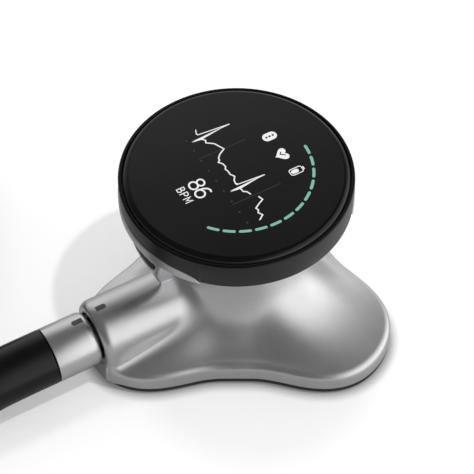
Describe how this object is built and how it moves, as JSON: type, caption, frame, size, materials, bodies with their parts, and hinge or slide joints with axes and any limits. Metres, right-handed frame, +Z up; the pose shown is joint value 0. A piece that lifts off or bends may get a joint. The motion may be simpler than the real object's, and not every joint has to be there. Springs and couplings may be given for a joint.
{
  "type": "stethoscope",
  "caption": "Digital stethoscope with a lobed metal chestpiece, a round display on its head, a plug-in hose laid in a loop and a sprung headset with ear tips.",
  "frame": {"origin": "On the floor, at the middle of the diaphragm's outer face, under the axis of the round display.", "axes": "+Z is up, out of the display. The hose leaves the chestpiece along -X, so +X points from the headset to the chestpiece. +Y completes the right-handed frame."},
  "size_m": [0.4524, 0.1653, 0.0429],
  "materials": {
    "satin_metal": "bead-blasted satin",
    "bright_metal": "polished",
    "bezel_black": "black anodised, satin",
    "cover_glass": "black-backed, polished",
    "rubber_black": "smooth, slightly glossy",
    "plastic_black": "matt",
    "plastic_grey": "matt",
    "board_green": "satin",
    "cell_silver": "foil",
    "copper_lead": "flat copper",
    "membrane": "fine-grained film"
  },
  "bodies": {
    "chestpiece": {"main_body": "satin_metal", "bezel_ring": "bezel_black", "cover_glass": "cover_glass", "display_panel": "plastic_black", "main_board": "board_green", "board_chip_1": "plastic_black", "board_chip_2": "plastic_black", "board_chip_3": "plastic_black", "battery": "cell_silver", "sensor_lead": "copper_lead", "front_switch": "plastic_grey", "side_switch": "plastic_grey", "charge_port": "bright_metal", "charge_port_tongue": "plastic_black", "socket_liner": "plastic_black", "sound_driver": "bright_metal", "acoustic_sensor": "bright_metal", "base_gasket": "rubber_black", "base_plate": "plastic_black", "base_screw_1": "bright_metal", "base_screw_2": "bright_metal", "base_screw_3": "bright_metal", "diaphragm": "membrane", "diaphragm_ring": "plastic_grey", "electrode_1": "bright_metal", "electrode_2": "bright_metal", "electrode_3": "bright_metal"},
    "button": {"front_button": "plastic_black"},
    "key": {"side_key": "bezel_black"},
    "hose": {"connector_sleeve": "satin_metal", "plug_stem": "bright_metal", "plug_seal": "rubber_black", "tube": "rubber_black", "tube_coil": "rubber_black", "tube_lead": "rubber_black", "yoke": "rubber_black", "leaf_spring": "bright_metal"},
    "left_ear": {"left_arm": "rubber_black", "left_eartube": "satin_metal", "left_ear_tip": "rubber_black"},
    "right_ear": {"right_arm": "rubber_black", "right_eartube": "satin_metal", "right_ear_tip": "rubber_black"}
  },
  "joints": [
    {"name": "plug_pull", "type": "slide", "parent": "chestpiece", "child": "hose", "axis": [-1, 0, 0], "range_m": [0, 0.012]},
    {"name": "button_press", "type": "slide", "parent": "chestpiece", "child": "button", "axis": [1, 0, 0], "range_m": [0, 0.0005], "stiffness_N_per_m": 2000, "springref_m": -0.0002},
    {"name": "key_press", "type": "slide", "parent": "chestpiece", "child": "key", "axis": [-0.9703, 0.2419, 0], "range_m": [0, 0.0003], "stiffness_N_per_m": 3000, "springref_m": -0.0002},
    {"name": "left_ear_spread", "type": "hinge", "parent": "hose", "child": "left_ear", "pos_m": [-0.26791, 0.03113, 0.0082], "axis": [0, 0, 1], "range_deg": [0, 20], "stiffness_Nm_per_rad": 3},
    {"name": "right_ear_spread", "type": "hinge", "parent": "hose", "child": "right_ear", "pos_m": [-0.26461, 0.04984, 0.0082], "axis": [0, 0, -1], "range_deg": [0, 20], "stiffness_Nm_per_rad": 3}
  ]
}
